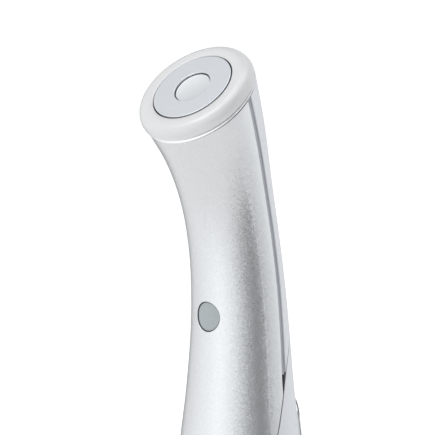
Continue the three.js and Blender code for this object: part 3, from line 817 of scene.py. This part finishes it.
def build_button():
    flange = BUTTON_RADIUS + FLANGE_SIZE
    back = -FLANGE_AT - FLANGE_SIZE
    outline = [(0, -STEM_TIP), (STEM_RADIUS, -STEM_TIP), (STEM_RADIUS, back), (flange, back)]
    outline += [(flange, -FLANGE_AT), (BUTTON_RADIUS, -FLANGE_AT)]
    for angle in np.linspace(0, math.pi / 2, 7):
        r = BUTTON_RADIUS - BUTTON_EDGE + BUTTON_EDGE * math.cos(angle)
        outline.append((r, -BUTTON_RECESS - BUTTON_EDGE + BUTTON_EDGE * math.sin(angle)))
    outline += [(r, -BUTTON_RECESS) for r in np.linspace(4.5, 0, 12)]
    obj = lathe("power_button_cap", outline, BUTTON, button_place(), 96, "button", casing_drop)
    stands_for(obj, "button_grey", "power_button")


# ---------- what stays from the frame ----------

CAD_LOOKS = {
    "inner_plastic": INNER,
    "piezo_ceramic": CERAMIC,
    "circuit_board": BOARD,
    "led_body": PHOSPHOR,
    "black_plastic": BLACK,
    "seal_rubber": RUBBER,
    "screw_steel": SCREW,
    "transformer_core": CORE,
    "contact_brass": BRASS,
    "cell_wrap": WRAP,
    "lead_red": RED,
    "lead_black": BLACK_LEAD,
    "pearl_lacquer": PEARL,
}


def dress_frame():
    """Gives every carried-over CAD node the look of its material slot."""
    for part in frame["record"]["subparts"]:
        look = CAD_LOOKS.get(part["material_slot"])
        if look:
            node = frame["nodes"][part["node"]]
            node.data.materials.clear()
            node.data.materials.append(look)


# ---------- floor, light and camera ----------


def build_stage():
    """A wide white floor, in metres, that polished faces don't mirror."""
    size = 60.0
    mesh = bpy.data.meshes.new("floor")
    corners = [(-size, -size, 0), (size, -size, 0), (size, size, 0), (-size, size, 0)]
    mesh.from_pydata(corners, [], [(0, 1, 2, 3)])
    floor = bpy.data.objects.new("floor", mesh)
    bpy.context.scene.collection.objects.link(floor)
    look = shader("floor_paper", (0.88, 0.88, 0.88), 0.9, Emission_Color=(1, 1, 1, 1), Emission_Strength=0.3)
    mesh.materials.append(look)
    floor.visible_glossy = False


def studio():
    """Plain surrounding light: bright left of the view, dim right of it, bright behind and below."""
    world = bpy.data.worlds.new("studio")
    world.use_nodes = True
    bpy.context.scene.world = world
    tree = world.node_tree
    background = tree.nodes["Background"]
    coordinates = tree.nodes.new("ShaderNodeTexCoord")
    split = tree.nodes.new("ShaderNodeSeparateXYZ")
    turn = tree.nodes.new("ShaderNodeMath")
    turn.operation = "ARCTAN2"
    ramp = tree.nodes.new("ShaderNodeValToRGB")
    scale = tree.nodes.new("ShaderNodeMapRange")
    scale.inputs["From Min"].default_value = -math.pi
    scale.inputs["From Max"].default_value = math.pi
    tree.links.new(coordinates.outputs["Generated"], split.inputs["Vector"])
    tree.links.new(split.outputs["Y"], turn.inputs[0])
    tree.links.new(split.outputs["X"], turn.inputs[1])
    tree.links.new(turn.outputs[0], scale.inputs["Value"])
    tree.links.new(scale.outputs["Result"], ramp.inputs["Fac"])
    # Degrees round from +X towards +Y, and how bright the surrounding is there.
    stops = [(-180, 0.85), (-130, 1.12), (-92, 1.36), (-62, 1.08), (-40, 0.65), (-22, 0.28), (-8, 0.14)]
    stops += [(14, 0.12), (15.5, 1.8), (18, 0.7), (40, 0.8), (62, 1.05), (80, 1.05), (120, 0.75)]
    stops += [(150, 0.35), (172, 0.75)]
    elements = ramp.color_ramp.elements
    elements[0].position = 0
    elements[0].color = (stops[0][1],) * 3 + (1,)
    elements[1].position = 1
    elements[1].color = (stops[0][1],) * 3 + (1,)
    for degrees, level in stops[1:]:
        element = elements.new((degrees + 180) / 360)
        element.color = (0.985 * level, level, 1.015 * level, 1)
    ramp.color_ramp.interpolation = "EASE"
    # Below the horizon the surrounding turns to one even brightness.
    below = tree.nodes.new("ShaderNodeMapRange")
    below.interpolation_type = "SMOOTHSTEP"
    below.inputs["From Min"].default_value = math.sin(math.radians(-17))
    below.inputs["From Max"].default_value = math.sin(math.radians(-38))
    tree.links.new(split.outputs["Z"], below.inputs["Value"])
    blend = tree.nodes.new("ShaderNodeMix")
    blend.data_type = "RGBA"
    blend.inputs["B"].default_value = (0.92, 0.92, 0.92, 1)
    tree.links.new(below.outputs["Result"], blend.inputs["Factor"])
    tree.links.new(ramp.outputs["Color"], blend.inputs["A"])
    # Seen directly it is plain white, like the floor that runs up to it.
    rays = tree.nodes.new("ShaderNodeLightPath")
    seen = tree.nodes.new("ShaderNodeMix")
    seen.data_type = "RGBA"
    seen.inputs["B"].default_value = (1, 1, 1, 1)
    tree.links.new(rays.outputs["Is Camera Ray"], seen.inputs["Factor"])
    tree.links.new(blend.outputs["Result"], seen.inputs["A"])
    tree.links.new(seen.outputs["Result"], background.inputs["Color"])


def area_light(name, azimuth, elevation, distance, size, power):
    """A soft panel that looks at the middle of the device; azimuth 0 is in front, counted like the view's."""
    aim = Vector((0, -0.01, 0.09))
    a = math.radians(azimuth)
    e = math.radians(elevation)
    direction = Vector((math.sin(a) * math.cos(e), -math.cos(a) * math.cos(e), math.sin(e)))
    data = bpy.data.lights.new(name, "AREA")
    data.shape = "RECTANGLE"
    data.size, data.size_y = size
    data.energy = power
    obj = bpy.data.objects.new(name, data)
    obj.location = aim + direction * distance
    obj.rotation_euler = (-direction).to_track_quat("-Z", "Y").to_euler()
    bpy.context.scene.collection.objects.link(obj)


def place_camera():
    back = Vector(
        (
            math.sin(VIEW_AZIMUTH) * math.cos(VIEW_ELEVATION),
            -math.cos(VIEW_AZIMUTH) * math.cos(VIEW_ELEVATION),
            math.sin(VIEW_ELEVATION),
        )
    )
    right = Vector((math.cos(VIEW_AZIMUTH), math.sin(VIEW_AZIMUTH), 0))
    up = back.cross(right)
    data = bpy.data.cameras.new("camera")
    data.sensor_width = 36.0
    data.lens = data.sensor_width * VIEW_DISTANCE / VIEW_WIDTH
    camera = bpy.data.objects.new("camera", data)
    place = HEAD_CENTRE + back * VIEW_DISTANCE + right * VIEW_RIGHT - up * VIEW_DOWN
    camera.matrix_world = Matrix.Translation(place * MM) @ Matrix((right, up, back)).transposed().to_4x4()
    bpy.context.scene.collection.objects.link(camera)
    bpy.context.scene.camera = camera


place_camera()
build_stage()
studio()
area_light("key", -17, 51, 0.9, (0.5, 0.3), 1.1)
area_light("top", 40, 80, 0.9, (0.8, 0.8), 2.4)
bpy.context.scene.view_settings.view_transform = "Standard"

build_front_shell()
build_back_shell()
build_lower_shell()
build_trims()
build_hand_electrode()
build_head()
build_button()
dress_frame()
